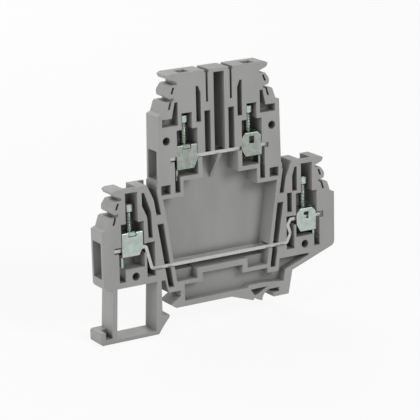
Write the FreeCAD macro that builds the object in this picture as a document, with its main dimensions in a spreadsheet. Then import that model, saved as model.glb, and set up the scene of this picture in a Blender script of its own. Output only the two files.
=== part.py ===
import FreeCAD, Part
import os
import re

import Sketcher

# Feed-through terminal block for a 35 mm top-hat rail, two decks high.
# X runs along the block, Y through its thickness (open side at -Y), Z up.
# The origin is the middle of the rail seat, at mid-thickness. Millimetres.

SHEET_NAME = "Sizes"
SIDES = {"right": 1, "left": -1}

# Driving dimensions. Half widths are measured from the block's centre line,
# heights from the rail seat.
SIZES = {
    # moulded housing, overall
    "thickness": 6.0,
    "back_skin": 0.7,
    "front_skin": 0.8,
    "tower_top": 62.35,
    "tower_half": 18.35,
    "tower_foot_half": 18.7,
    "deck_top": 34.4,
    "deck_half": 35.6,
    "deck_bottom": 8.2,
    "corner_round": 1.6,
    # stair of label lugs at each upper corner, measured from the wing tip
    "stair_upper": 15.0,
    "stair_lower": 32.1,
    "stair_drop": 10.05,
    "shoulder_reach": 1.1,
    "shoulder_drop": 0.45,
    "wing_reach": 2.6,
    "wing_root": 2.2,
    "wing_tip": 1.0,
    "wing_bevel": 0.9,
    "lug_top": 2.9,
    "lug_height": 3.4,
    "lug_reach": 0.3,
    "lug_round": 0.9,
    "lip_top": 7.1,
    "lip_inset": 1.4,
    "lip_reach": 1.0,
    "lip_round": 0.8,
    "lip_slope": 1.2,
    "lug_slot_width": 0.6,
    "lug_slot_deep": 2.3,
    # rail seat, fixed hook and latch
    "rail_half": 17.5,
    "rail_flange": 1.0,
    "rail_play": 0.12,
    "hook_outer": 20.6,
    "hook_grip": 1.7,
    "hook_thick": 1.4,
    "belly_reach": 21.9,
    "belly_height": 4.05,
    "wedge_start": 2.6,
    "wedge_reach": 9.3,
    "wedge_drop": 2.25,
    "arm_tip": 12.2,
    "arm_drop": 2.8,
    "arm_round": 2.75,
    "arm_foot": 1.5,
    "arm_foot_rise": 0.55,
    "arm_notch": 10.05,
    "arm_notch_drop": 1.5,
    "arm_slot_start": 8.45,
    "arm_slot_end": 13.9,
    "arm_slot_top": 0.85,
    "arm_slot_bend": 10.95,
    "arm_slot_bend_drop": 0.8,
    "arm_slot_foot": 9.85,
    "arm_slot_drop": 1.0,
    "beam_thick": 1.5,
    "beam_rise": 2.15,
    "beam_rise_start": 7.4,
    "beam_rise_end": 13.0,
    "seat_end": 14.4,
    "barb_reach": 15.9,
    "barb_height": 1.1,
    "barb_root": 12.9,
    "barb_top": 3.0,
    "undercut_top": 4.55,
    # sprung foot frame
    "foot_bottom": 6.2,
    "foot_inner": 18.6,
    "foot_outer": 32.9,
    "foot_bar": 1.3,
    "foot_floor": 1.0,
    "foot_lean": 0.6,
    "latch_grip": 1.0,
    "latch_thick": 0.6,
    "latch_ramp": 3.1,
    "foot_bevel": 1.2,
    "tab_reach": 3.4,
    "tab_top": 2.85,
    "tab_wall": 1.4,
    "tab_deep": 3.0,
    "tab_round": 0.7,
    # middle bay and lower bay
    "bay_throat": 5.45,
    "bay_ceiling": 34.0,
    "bay_step": 11.25,
    "bay_step_height": 29.9,
    "bay_floor": 9.5,
    "ledge_half": 7.75,
    "ledge_top": 9.85,
    "ledge_side_top": 7.1,
    "ledge_thick": 1.1,
    "ledge_step_thick": 1.57,
    "lower_bay_end": 11.7,
    "belly_wall_foot": 19.1,
    "belly_wall_head": 19.65,
    "wing_bay_reach": 27.2,
    "wing_bay_top": 7.95,
    "wing_bay_tip": 0.55,
    "wing_bay_foot": 4.65,
    "rib": 0.9,
    # slanted insulation slots between tower and deck
    "slant_bottom": 5.95,
    "slant_top": 23.55,
    "slant_foot": 14.85,
    "slant_head": 17.43,
    "slant_width": 1.65,
    "slant_flare": 0.24,
    "valley_bottom": 26.0,
    "valley_foot": 18.1,
    "valley_head": 19.6,
    "valley_width": 1.4,
    "valley_mouth": 2.7,
    "notch_start": 19.0,
    "notch_width": 1.1,
    "notch_depth": 1.7,
    # slots beside the lower chambers
    "side_slot_bottom": 20.3,
    "side_slot_middle": 26.0,
    "side_slot_top": 32.6,
    "side_slot_low": 20.5,
    "side_slot_high": 22.15,
    "side_slot_width": 1.55,
    "side_slot_bevel": 2.4,
    # slots in the tower
    "channel_half": 1.6,
    "channel_top": 61.4,
    "thin_slot_centre": 3.6,
    "thin_slot_width": 0.65,
    "thin_slot_bottom": 53.9,
    "thin_slot_notch": 0.75,
    "inner_slot_start": 2.7,
    "inner_slot_width": 1.8,
    "inner_slot_top": 51.6,
    "long_slot_start": 5.5,
    "long_slot_width": 1.45,
    "long_slot_bottom": 48.9,
    "long_slot_top": 58.4,
    "long_slot_bevel": 1.8,
    # shallow recesses
    "shallow_deep": 2.7,
    "pane_start": 12.4,
    "pane_end": 17.1,
    "pane_bottom": 48.8,
    "pane_top": 50.8,
    "pane_peak": 54.9,
    "pane_neck": 1.8,
    "square_start": 15.1,
    "square_end": 17.9,
    "square_bottom": 31.0,
    "square_top": 33.5,
    # upper terminal chambers
    "upper_centre": 9.78,
    "upper_floor_drop": 4.35,
    "upper_ceiling_rise": 8.0,
    "upper_head_rise": 12.3,
    "upper_guard_drop": 8.5,
    # lower terminal chambers
    "lower_centre": 26.65,
    "lower_floor_drop": 4.6,
    "lower_ceiling_rise": 7.6,
    "lower_head_rise": 15.6,
    "lower_guard_drop": 7.9,
    # common to every chamber
    "chamber_width": 6.2,
    "head_pocket_width": 3.1,
    "guard_slot_reach": 0.85,
    "guard_play": 0.15,
    "lower_chamber_extra": 0.5,
    "lower_shaft_offset": 0.1,
    "lower_shaft_width": 3.6,
    "tip_slot_reach": 1.15,
    # wire entries in the end faces
    "entry_upper_bottom": 35.0,
    "entry_upper_top": 42.6,
    "entry_lower_bottom": 11.3,
    "entry_lower_top": 20.9,
    # alignment holes and pegs
    "peg_hole_radius": 1.1,
    "peg_hole_deep": 4.4,
    "peg_play": 0.12,
    "peg_length": 1.0,
    "upper_peg_reach": 15.98,
    "upper_peg_height": 45.08,
    "lower_peg_reach": 26.04,
    "lower_peg_height": 10.69,
    # clamping cage, folded from sheet
    "cage_sheet": 0.5,
    "cage_depth": 4.2,
    "cage_length": 6.05,
    "cage_height": 6.45,
    "cage_top_thick": 1.0,
    "cage_bevel": 1.25,
    "cage_bevel_height": 2.2,
    "cage_fold": 0.25,
    "cage_notch": 2.4,
    "cage_notch_deep": 1.15,
    "cage_tab_gap": 0.2,
    "cage_eye_width": 1.6,
    "cage_eye_height": 2.0,
    "cage_eye_centre": 4.5,
    "cage_ear": 1.2,
    "guard_length": 2.9,
    "guard_width": 2.6,
    "upper_left_drop": 2.65,
    "upper_right_drop": 2.05,
    "lower_left_drop": 1.45,
    "lower_right_drop": 3.45,
    # captive clamping screw
    "screw_axis": -0.7,
    "screw_length": 10.6,
    "head_radius": 1.42,
    "head_height": 1.9,
    "head_bevel": 0.2,
    "shank_radius": 1.0,
    "screw_play": 0.05,
    "driver_slot": 0.5,
    "driver_slot_deep": 0.75,
    "point_length": 0.4,
    "screw_lift": 0.05,
    "lower_left_lift": 0.75,
    # current bars
    "bar_thick": 0.9,
    "bar_width": 2.9,
    "bar_play": 0.2,
    "upper_bar_half": 14.6,
    "upper_bar_height": 39.5,
    "lower_bar_half": 31.9,
    "lower_bar_height": 11.3,
    "lower_bar_tips": 17.6,
    "bar_foot_reach": 20.75,
    "bar_left_knee": 21.75,
    "bar_left_shoulder": 22.45,
    "bar_right_knee": 21.95,
    "bar_right_shoulder": 21.1,
    "bar_bend_round": 0.65,
    "bar_wall_drop": 1.1,
    "bar_pocket_start": 20.2,
    "bar_pocket_end": 22.7,
    "bar_pocket_floor": 10.0,
    "bar_pocket_top": 19.2,
    # rib that holds the upper bar at its middle
    "gusset_half": 0.45,
    "gusset_foot": 32.2,
    # how far a cut runs past the face that it opens
    "overcut": 0.5,
}

doc = FreeCAD.newDocument("feed_through_terminal_block")


def fill_sheet():
    """Put every driving dimension into the sheet, under its own name."""
    sheet = doc.addObject("Spreadsheet::Sheet", SHEET_NAME)
    for row, (name, value) in enumerate(SIZES.items(), start=1):
        sheet.set(f"A{row}", name)
        sheet.set(f"B{row}", str(value))
        sheet.setAlias(f"B{row}", name)
    doc.recompute()


def bound(text):
    """Turn plain size names in an expression into references to the sheet."""
    return re.sub(r"[a-z][a-z_]{2,}", rf"{SHEET_NAME}.\g<0>", text)


def flip(corners, side):
    """Corners of the right half, carried over to the given side."""
    return [(f"{side} * ({across})", up) for across, up in corners]


def new_body(label):
    """One separate piece of the block."""
    body = doc.addObject("PartDesign::Body", label)
    body.Label = label
    return body


def new_sketch(body, name, plane, offset="0"):
    """A sketch on one of the body's own origin planes, moved along its normal."""
    sketch = body.newObject("Sketcher::SketchObject", name)
    role = f"{plane}_Plane"
    datum = [item for item in body.Origin.OriginFeatures if item.Role == role][0]
    sketch.AttachmentSupport = (datum, "")
    sketch.MapMode = "FlatFace"
    sketch.setExpression("AttachmentOffset.Base.z", bound(offset))
    return sketch


def value_of(sketch, text):
    """Present value of an expression."""
    return float(sketch.evalExpression(bound(text)))


def pin(sketch, geometry, vertex, across, up):
    """Tie one vertex to the origin by two driven distances."""
    for kind, text in (("DistanceX", across), ("DistanceY", up)):
        size = value_of(sketch, text)
        index = sketch.addConstraint(Sketcher.Constraint(kind, -1, 1, geometry, vertex, size))
        sketch.setExpression(f"Constraints[{index}]", bound(text))


def round_corner(sketch, line, corner, radius):
    """Put a tangent arc between one line and the next, and keep their corner as a point."""
    arc = sketch.GeometryCount
    size = value_of(sketch, radius)
    sketch.fillet(line, 2, size, True, True)
    pin(sketch, arc + 1, 1, *corner)
    index = sketch.addConstraint(Sketcher.Constraint("Radius", arc, size))
    sketch.setExpression(f"Constraints[{index}]", bound(radius))


def add_loop(sketch, corners, arcs=None):
    """Closed polygon whose corners follow the sheet; arcs gives the radius of round ones."""
    spots = [FreeCAD.Vector(value_of(sketch, a), value_of(sketch, b), 0) for a, b in corners]
    following = spots[1:] + spots[:1]
    first = sketch.GeometryCount
    sketch.addGeometry([Part.LineSegment(a, b) for a, b in zip(spots, following)], False)
    count = len(corners)
    joints = []
    for step in range(count):
        after = first + (step + 1) % count
        joints.append(Sketcher.Constraint("Coincident", first + step, 2, after, 1))
    sketch.addConstraint(joints)
    for step, corner in enumerate(corners):
        if arcs and corner in arcs:
            round_corner(sketch, first + step - 1, corner, arcs[corner])
        else:
            pin(sketch, first + step, 1, *corner)


def add_bent_run(sketch, corners, radius):
    """Open run of straight lines with a tangent arc at each bend; corners follow the sheet."""
    spots = [FreeCAD.Vector(value_of(sketch, a), value_of(sketch, b), 0) for a, b in corners]
    sketch.addGeometry([Part.LineSegment(a, b) for a, b in zip(spots, spots[1:])], False)
    last = len(corners) - 2
    for step in range(last):
        sketch.addConstraint(Sketcher.Constraint("Coincident", step, 2, step + 1, 1))
    for step, corner in enumerate(corners[1:-1]):
        round_corner(sketch, step, corner, radius)
    pin(sketch, 0, 1, *corners[0])
    pin(sketch, last, 2, *corners[-1])


def add_circle(sketch, across, up, radius):
    """Circle whose centre and radius follow the sheet."""
    centre = FreeCAD.Vector(value_of(sketch, across), value_of(sketch, up), 0)
    size = value_of(sketch, radius)
    circle = Part.Circle(centre, FreeCAD.Vector(0, 0, 1), size)
    index = sketch.addGeometry(circle, False)
    pin(sketch, index, 3, across, up)
    constraint = sketch.addConstraint(Sketcher.Constraint("Radius", index, size))
    sketch.setExpression(f"Constraints[{constraint}]", bound(radius))


def box_loop(left, right, low, high):
    """Corners of an upright rectangle."""
    return [(left, low), (right, low), (right, high), (left, high)]


def pad(body, sketch, name, length, reverse=False, middle=False):
    """Add material along the sketch's normal."""
    feature = body.newObject("PartDesign::Pad", name)
    feature.Profile = sketch
    feature.setExpression("Length", bound(length))
    feature.Reversed = reverse
    feature.Midplane = middle
    feature.Refine = False
    body.Tip = feature
    return feature


def pocket(body, sketch, name, length, reverse=False, middle=False):
    """Remove material against the sketch's normal, and make sure that it did."""
    feature = body.newObject("PartDesign::Pocket", name)
    feature.Profile = sketch
    feature.setExpression("Length", bound(length))
    feature.Reversed = reverse
    feature.Midplane = middle
    feature.Refine = False
    body.Tip = feature
    doc.recompute()
    if not feature.Shape.Volume < feature.BaseFeature.Shape.Volume:
        raise ValueError(f"{name} removes nothing")
    return feature


def edges_through(shape, sketch, corners, axis):
    """Names of the straight edges along one axis that pass through the corners."""
    spots = [(value_of(sketch, across), value_of(sketch, up)) for across, up in corners]
    flat = {"X": ("y", "z"), "Y": ("x", "z"), "Z": ("x", "y")}[axis]
    direction = {"X": FreeCAD.Vector(1, 0, 0), "Y": FreeCAD.Vector(0, 1, 0)}
    direction["Z"] = FreeCAD.Vector(0, 0, 1)
    names = []
    for number, edge in enumerate(shape.Edges, start=1):
        if edge.Curve.TypeId != "Part::GeomLine":
            continue
        if abs(edge.tangentAt(edge.FirstParameter).dot(direction[axis])) < 1 - NEAR:
            continue
        point = edge.CenterOfMass
        for across, up in spots:
            gap = abs(getattr(point, flat[0]) - across) + abs(getattr(point, flat[1]) - up)
            if gap < NEAR:
                names.append(f"Edge{number}")
                break
    return names


NEAR = 1e-4


def round_edges(body, sketch, name, corners, radius, axis="Y"):
    """Round the edges that run through the given corners of a sketch plane."""
    doc.recompute()
    base = body.Tip
    names = edges_through(base.Shape, sketch, corners, axis)
    if not names:
        raise ValueError(f"{name} finds no edge")
    feature = body.newObject("PartDesign::Fillet", name)
    feature.Base = (base, names)
    feature.setExpression("Radius", bound(radius))
    feature.Refine = False
    body.Tip = feature
    doc.recompute()
    return feature


def finish(body):
    """Join the faces that lie in one plane, in the piece's last feature."""
    body.Tip.Refine = True
    return body


# Moulded housing

FRONT = "thickness / 2"
HOLLOW = "thickness - back_skin"
BAY_FOOT = "slant_foot - rib"
BAY_LEAN = "(slant_head - slant_foot + rib) / (bay_step_height - ledge_side_top)"
BAY_CORNER = f"{BAY_FOOT} + {BAY_LEAN} * (bay_floor - ledge_side_top)"


def half_outline():
    """Right-hand corners of the silhouette, from the tower's top to the deck's end."""
    corners = []
    levels = (("stair_upper", "tower_top", "tower_half"), ("stair_lower", "deck_top", "deck_half"))
    for tip, top, half in levels:
        corners += [
            (f"{tip} - wing_reach", top),
            (f"{tip} - wing_reach", f"{top} - lug_top"),
            (f"{tip} - lip_inset", f"{top} - lip_top"),
            (f"{half} - shoulder_reach", f"{top} - stair_drop"),
            (half, f"{top} - stair_drop - shoulder_drop"),
        ]
        if tip == "stair_upper":
            corners.append(("tower_foot_half", "deck_top"))
    return corners


def underside_outline():
    """Corners below the deck, from the right end to the left end."""
    latch_top = "-(rail_flange + rail_play + latch_thick / 2)"
    return [
        ("deck_half", "deck_bottom + rib"),
        ("belly_reach", "belly_height"),
        ("hook_outer", "-(rail_flange + hook_thick)"),
        ("rail_half - hook_grip", "-(rail_flange + hook_thick)"),
        ("rail_half - hook_grip", "-(rail_flange + rail_play)"),
        ("rail_half + rail_play", "-(rail_flange + rail_play)"),
        ("rail_half + rail_play", "0"),
        ("arm_tip", "0"),
        ("arm_tip", "-arm_drop"),
        ("arm_tip - arm_foot", "-(arm_drop - arm_foot_rise)"),
        ("arm_notch", "-arm_notch_drop"),
        ("wedge_reach", "-wedge_drop"),
        ("wedge_start", "0"),
        ("-seat_end", "0"),
        ("-barb_reach", "barb_height"),
        ("-barb_root", "barb_top"),
        ("-barb_root", "undercut_top"),
        ("-(slant_foot + slant_width)", "undercut_top"),
        ("-(slant_foot + slant_width + rib)", "deck_bottom"),
        ("-foot_inner", "deck_bottom"),
        ("-foot_inner", latch_top),
        ("-(rail_half - latch_grip)", latch_top),
        ("-(rail_half - latch_grip)", f"{latch_top} - latch_thick"),
        ("-foot_inner", f"{latch_top} - latch_ramp"),
        ("-(foot_inner + foot_bevel)", "-foot_bottom"),
        ("-(foot_outer + foot_lean + tab_reach)", "-foot_bottom"),
        ("-(foot_outer + foot_lean + tab_reach)", "-tab_top"),
        ("-(foot_outer + foot_lean)", "-tab_top"),
        ("-foot_outer", "deck_bottom"),
        ("-deck_half", "deck_bottom"),
    ]


def foot_window():
    """See-through window of the sprung foot."""
    return [
        ("-(foot_outer - foot_bar)", "deck_bottom"),
        ("-(foot_inner + foot_bar)", "deck_bottom"),
        ("-(foot_inner + foot_bar + foot_lean)", "-(foot_bottom - foot_floor)"),
        ("-(foot_outer + foot_lean - foot_bar)", "-(foot_bottom - foot_floor)"),
    ]


def arm_slot():
    """Triangular slot that frees the arm pressing on the rail's inside."""
    return [
        ("arm_slot_start", "arm_slot_top"),
        ("arm_slot_end", "arm_slot_top"),
        ("arm_slot_bend", "-arm_slot_bend_drop"),
        ("arm_slot_foot", "-arm_slot_drop"),
    ]


def label_stair(body, level, side):
    """Wing, lug and lip that hold a label at one upper corner."""
    tip, top = {"upper": ("stair_upper", "tower_top"), "lower": ("stair_lower", "deck_top")}[level]
    root = f"{tip} - wing_reach - rib"
    sign = SIDES[side]
    wing = [
        (root, top),
        (f"{tip} - wing_bevel", top),
        (tip, f"{top} - wing_bevel / 2"),
        (f"{tip} - wing_bevel / 2", f"{top} - wing_bevel / 2 - wing_tip"),
        (f"{tip} - wing_reach", f"{top} - wing_root"),
        (root, f"{top} - wing_root"),
    ]
    lug = [
        (root, f"{top} - lug_top"),
        (f"{tip} - lug_round", f"{top} - lug_top"),
        (f"{tip} + lug_reach", f"{top} - lug_top - lug_height / 2"),
        (f"{tip} + lug_reach", f"{top} - lug_top - lug_height"),
        (root, f"{top} - lug_top - lug_height"),
    ]
    lip = [
        (root, f"{top} - lip_top"),
        (f"{tip} + lip_slope", f"{top} - lip_top"),
        (f"{tip} + lip_slope + lip_reach", f"{top} - stair_drop"),
        (root, f"{top} - stair_drop"),
    ]
    name = f"{level}_{side}"
    sketch = new_sketch(body, f"stair_{name}", "XZ")
    for corners in (wing, lug, lip):
        add_loop(sketch, flip(corners, sign))
    pad(body, sketch, f"stair_pad_{name}", "thickness", middle=True)
    outer = flip([lug[1], lug[2], lug[3], lip[1]], sign)
    round_edges(body, sketch, f"stair_round_{name}", outer, "lip_round")


def lug_slots(body, level, side):
    """Slanted slots in the lug and the lip of one stair."""
    tip, top = {"upper": ("stair_upper", "tower_top"), "lower": ("stair_lower", "deck_top")}[level]
    sign = SIDES[side]
    slots = []
    for start, reach, drop in (("lug_top", "-lug_slot_width", "lug_height / 2"),
                               ("lip_top + lug_slot_width", "lug_reach", "lug_height * 3 / 5")):
        across = f"{tip} + {reach} - lug_slot_width"
        low = f"{top} - {start} - lug_slot_width - {drop}"
        high = f"{top} - {start} - lug_slot_width"
        slots.append([
            (f"{across} - lug_slot_width", high),
            (across, high),
            (f"{across} + lug_slot_width", low),
            (f"{across}", low),
        ])
    name = f"{level}_{side}"
    sketch = new_sketch(body, f"lug_slots_{name}", "XZ", FRONT)
    for corners in slots:
        add_loop(sketch, flip(corners, sign))
    pocket(body, sketch, f"lug_slot_cut_{name}", "lug_slot_deep")


def middle_bay():
    """Large bay between the terminal chambers, above the stepped ledge."""
    right = [
        ("bay_throat", "upper_bar_height + bar_thick + bar_play"),
        ("bay_throat", "bay_ceiling"),
        ("bay_step", "bay_ceiling"),
        ("bay_step", "bay_step_height"),
        ("slant_head", "bay_step_height"),
        (BAY_CORNER, "bay_floor"),
        ("ledge_half", "bay_floor"),
        ("ledge_half", "ledge_top"),
    ]
    return right + flip(right, -1)[::-1]


def ledge_pocket():
    """Shallow pocket between the bay's floor and the side of the stepped ledge."""
    return [
        ("ledge_half", "ledge_side_top"),
        (BAY_FOOT, "ledge_side_top"),
        (BAY_CORNER, "bay_floor"),
        ("ledge_half", "bay_floor"),
    ]


def lower_bay():
    """Shallow bay below the stepped ledge, running out under the right-hand deck."""
    under = "ledge_side_top - ledge_thick"
    head = "ledge_top - ledge_step_thick"
    step = "ledge_half - ledge_step_thick"
    rim = "slant_bottom - rib * 3 / 2"
    floor = [
        ("-lower_bay_end", under),
        ("-lower_bay_end", "beam_thick"),
        ("beam_rise_start", "beam_thick"),
        ("beam_rise_start + rib", "beam_rise"),
        ("beam_rise_end", "beam_rise"),
        ("belly_wall_foot", "beam_thick"),
    ]
    wing = [
        ("belly_wall_head", "wing_bay_foot"),
        ("wing_bay_reach", "wing_bay_top - wing_bay_tip"),
        ("wing_bay_reach", "wing_bay_top"),
        ("slant_foot + slant_width + rib * 3 / 2", "wing_bay_top"),
        ("slant_foot + slant_width + rib", rim),
        (BAY_FOOT, rim),
        (BAY_FOOT, under),
    ]
    ledge = [(step, under), (step, head), (f"-({step})", head), (f"-({step})", under)]
    return floor + wing + ledge


def slanted_slot():
    """Insulation slot between the middle bay and the lower chamber."""
    return [
        ("slant_foot", "slant_bottom"),
        ("slant_foot + slant_width", "slant_bottom"),
        ("slant_head + slant_width + slant_flare", "slant_top"),
        ("slant_head", "slant_top"),
    ]


def valley():
    """Slot between tower and deck, open at the top."""
    return [
        ("valley_foot", "valley_bottom"),
        ("valley_foot + valley_width", "valley_bottom"),
        ("valley_foot + valley_width * 3 / 2", "(valley_bottom + deck_top) / 2"),
        ("valley_head + valley_mouth", "deck_top + overcut"),
        ("valley_head", "deck_top + overcut"),
    ]


def right_side_slots():
    """Two slots, one above the other, beside the right lower chamber."""
    high = [
        ("side_slot_high", "side_slot_middle"),
        ("side_slot_high + side_slot_width", "side_slot_middle"),
        ("side_slot_high + side_slot_width", "side_slot_top"),
        ("side_slot_high + side_slot_width / 2", "side_slot_top"),
        ("side_slot_high", "side_slot_top - side_slot_bevel"),
    ]
    low = box_loop("side_slot_low", "side_slot_low + side_slot_width",
                   "side_slot_bottom", "side_slot_middle - rib / 3")
    return [high, low]


def left_side_slot():
    """One crooked slot beside the left lower chamber."""
    right_hand = [
        ("side_slot_low + slant_flare", "side_slot_bottom"),
        ("side_slot_low + side_slot_width", "side_slot_bottom"),
        ("side_slot_low + side_slot_width + slant_flare", "side_slot_middle"),
        ("side_slot_high + side_slot_width", "side_slot_middle + side_slot_bevel * 4 / 3"),
        ("side_slot_high + side_slot_width", "side_slot_top"),
        ("side_slot_high + side_slot_width / 2", "side_slot_top"),
        ("side_slot_low + side_slot_width / 3", "side_slot_middle + side_slot_bevel / 2"),
    ]
    return flip(right_hand, -1)


def upper_chamber():
    """Room for an upper cage, its screw head, its guard and the bar's tip."""
    low = "upper_centre - chamber_width / 2"
    high = "upper_centre + chamber_width / 2"
    guard = f"{high} + guard_slot_reach"
    guard_start = "upper_centre + cage_length / 2 - cage_sheet - guard_play"
    tip = f"{high} + tip_slot_reach + bar_thick"
    bar_low = "upper_bar_height - bar_play"
    bar_high = "upper_bar_height + bar_thick + bar_play"
    floor = "upper_bar_height - upper_floor_drop"
    guard_floor = "upper_bar_height - upper_guard_drop"
    ceiling = "upper_bar_height + upper_ceiling_rise"
    head_top = "upper_bar_height + upper_head_rise"
    return [
        (low, ceiling),
        ("upper_centre - head_pocket_width / 2", ceiling),
        ("upper_centre - head_pocket_width / 2", head_top),
        ("upper_centre + head_pocket_width / 2", head_top),
        ("upper_centre + head_pocket_width / 2", ceiling),
        (high, ceiling),
        (high, bar_high),
        (tip, bar_high),
        (tip, bar_low),
        (guard, bar_low),
        (guard, guard_floor),
        (guard_start, guard_floor),
        (guard_start, floor),
        (low, floor),
    ]


def lower_chamber():
    """Room for a lower cage, with the screw's shaft above it."""
    width = "(chamber_width + lower_chamber_extra)"
    low = f"lower_centre - {width} / 2"
    high = f"lower_centre + {width} / 2"
    guard = f"{high} + guard_slot_reach"
    guard_start = "lower_centre + cage_length / 2 - cage_sheet - guard_play"
    bar_low = "lower_bar_tips - bar_play"
    bar_high = "lower_bar_tips + bar_thick + bar_play * 3"
    tip = "lower_bar_half + bar_play"
    shaft = "lower_centre + lower_shaft_offset"
    floor = "lower_bar_tips - lower_floor_drop"
    guard_floor = "lower_bar_tips - lower_guard_drop"
    ceiling = "lower_bar_tips + lower_ceiling_rise"
    head_top = "lower_bar_tips + lower_head_rise"
    return [
        (low, ceiling),
        (f"{shaft} - lower_shaft_width / 2", ceiling),
        (f"{shaft} - lower_shaft_width / 2", head_top),
        (f"{shaft} + lower_shaft_width / 2", head_top),
        (f"{shaft} + lower_shaft_width / 2", ceiling),
        (high, ceiling),
        (high, bar_high),
        (tip, bar_high),
        (tip, bar_low),
        (guard, bar_low),
        (guard, guard_floor),
        (guard_start, guard_floor),
        (guard_start, floor),
        (low, floor),
    ]


def tower_slots():
    """Right-hand loops of the slots beside the tower's middle."""
    thin = box_loop("thin_slot_centre - thin_slot_width / 2",
                    "thin_slot_centre + thin_slot_width / 2",
                    "thin_slot_bottom", "tower_top + overcut")
    inner = box_loop("inner_slot_start", "inner_slot_start + inner_slot_width",
                     "upper_bar_height + bar_thick", "inner_slot_top")
    end = "long_slot_start + long_slot_width"
    long_slot = [
        ("long_slot_start", "long_slot_bottom"),
        (end, "long_slot_bottom"),
        (end, "long_slot_top"),
        ("long_slot_start + long_slot_width / 2", "long_slot_top"),
        ("long_slot_start", "long_slot_top - long_slot_bevel"),
    ]
    return [thin, inner, long_slot]


def bar_pocket():
    """Pocket in which the lower bar rises to its terminal."""
    return box_loop("bar_pocket_start", "bar_pocket_end", "bar_pocket_floor", "bar_pocket_top")


def shallow_recesses():
    """Right-hand loops of the recesses that only lighten the wall."""
    pane = [
        ("pane_start", "pane_bottom"),
        ("pane_end", "pane_bottom"),
        ("pane_end", "pane_top"),
        ("pane_start + pane_neck", "pane_top"),
        ("pane_start + pane_neck / 2", "pane_peak"),
        ("pane_start", "pane_peak"),
    ]
    square = box_loop("square_start", "square_end", "square_bottom", "square_top")
    return [pane, square]


def cut_loops(body, name, loops, depth):
    """Pocket several loops from the open side to one depth."""
    sketch = new_sketch(body, name, "XZ", FRONT)
    for corners in loops:
        add_loop(sketch, corners)
    pocket(body, sketch, f"{name}_cut", depth)


def both_sides(loops):
    """Right-hand loops and their mirror images."""
    return [flip(corners, sign) for sign in SIDES.values() for corners in loops]


def bar_channels(body):
    """Notches in which both current bars lie on the walls."""
    upper = box_loop("-upper_centre", "upper_centre", "upper_bar_height",
                     "upper_bar_height + bar_thick + bar_play")
    reach = "(bar_pocket_start + rib)"
    lower = box_loop(f"-{reach}", reach, "lower_bar_height",
                     "lower_bar_height + bar_thick + bar_play")
    wall = box_loop("bar_pocket_end - rib", "lower_centre", "lower_bar_tips - bar_wall_drop",
                    "lower_bar_tips + bar_thick + bar_play * 3")
    deep = "thickness / 2 + screw_axis + bar_width / 2 + bar_play"
    cut_loops(body, "bar_channels", [upper, lower, wall, flip(wall, -1)], deep)


def wire_entries(body):
    """Openings in both end faces, one for each wire."""
    levels = {
        "upper": ("tower_foot_half", "upper_centre", "entry_upper_bottom", "entry_upper_top"),
        "lower": ("deck_half", "lower_centre", "entry_lower_bottom", "entry_lower_top"),
    }
    wall = "thickness / 2 - front_skin"
    for level, (end, centre, low, high) in levels.items():
        inner = f"({centre} + chamber_width / 2)"
        for side, sign in SIDES.items():
            name = f"entry_{level}_{side}"
            sketch = new_sketch(body, name, "YZ", f"{sign} * ({end} + overcut)")
            add_loop(sketch, box_loop(f"-({wall})", wall, low, high))
            depth = f"{end} + overcut - {inner}"
            pocket(body, sketch, f"{name}_cut", depth, reverse=sign < 0)


def driver_shafts(body):
    """Shafts through which a screwdriver reaches the screws."""
    sketch = new_sketch(body, "driver_shafts", "XY", "tower_top")
    low = "screw_axis - head_pocket_width / 2"
    high = "screw_axis + head_pocket_width / 2"
    shaft = box_loop("upper_centre - head_pocket_width / 2",
                     "upper_centre + head_pocket_width / 2", low, high)
    for sign in SIDES.values():
        add_loop(sketch, flip(shaft, sign))
    pocket(body, sketch, "driver_shafts_cut", "tower_top - upper_bar_height - upper_head_rise + overcut")
    mouth = new_sketch(body, "shaft_mouths", "XZ", "-(thickness / 2)")
    start = "lower_centre + lower_shaft_offset - lower_shaft_width / 2"
    end = "lower_centre + lower_shaft_offset + lower_shaft_width / 2"
    for sign in SIDES.values():
        add_loop(mouth, flip(box_loop(start, end, "lower_bar_tips + lower_head_rise - rib / 4",
                                      "deck_top + overcut"), sign))
    pocket(body, mouth, "shaft_mouths_cut", "thickness - front_skin", reverse=True)


def back_notches(body):
    """Small notches through the back skin, at the tops of the slots."""
    sketch = new_sketch(body, "back_notches", "XZ", FRONT)
    groove = box_loop("notch_start", "notch_start + notch_width",
                      "deck_top - notch_depth", "deck_top + overcut")
    thin = box_loop("thin_slot_centre - thin_slot_width", "thin_slot_centre + thin_slot_width",
                    "tower_top - thin_slot_notch", "tower_top + overcut")
    for sign in SIDES.values():
        add_loop(sketch, flip(groove, sign))
        add_loop(sketch, flip(thin, sign))
    pocket(body, sketch, "back_notches_cut", "thickness + overcut")


def alignment_pegs(body):
    """Blind holes in the open side, and the pegs behind that fit the next block's."""
    spots = [("upper_peg_reach", "upper_peg_height"), ("lower_peg_reach", "lower_peg_height")]
    holes = new_sketch(body, "peg_holes", "XZ", FRONT)
    pegs = new_sketch(body, "pegs", "XZ", "-(thickness / 2)")
    for across, up in spots:
        for sign in SIDES.values():
            add_circle(holes, f"{sign} * {across}", up, "peg_hole_radius")
            add_circle(pegs, f"{sign} * {across}", up, "peg_hole_radius - peg_play")
    pocket(body, holes, "peg_holes_cut", "peg_hole_deep")
    pad(body, pegs, "pegs_pad", "peg_length", reverse=True)


def bar_gusset(body):
    """Triangular rib in the bay's throat, under the middle of the upper bar."""
    sketch = new_sketch(body, "bar_gusset", "YZ")
    back = "thickness / 2 - back_skin"
    seat = "upper_bar_height"
    add_loop(sketch, [("-thickness / 2", seat), (back, "gusset_foot"), (back, seat)])
    pad(body, sketch, "bar_gusset_pad", "gusset_half * 2", middle=True)


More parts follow.
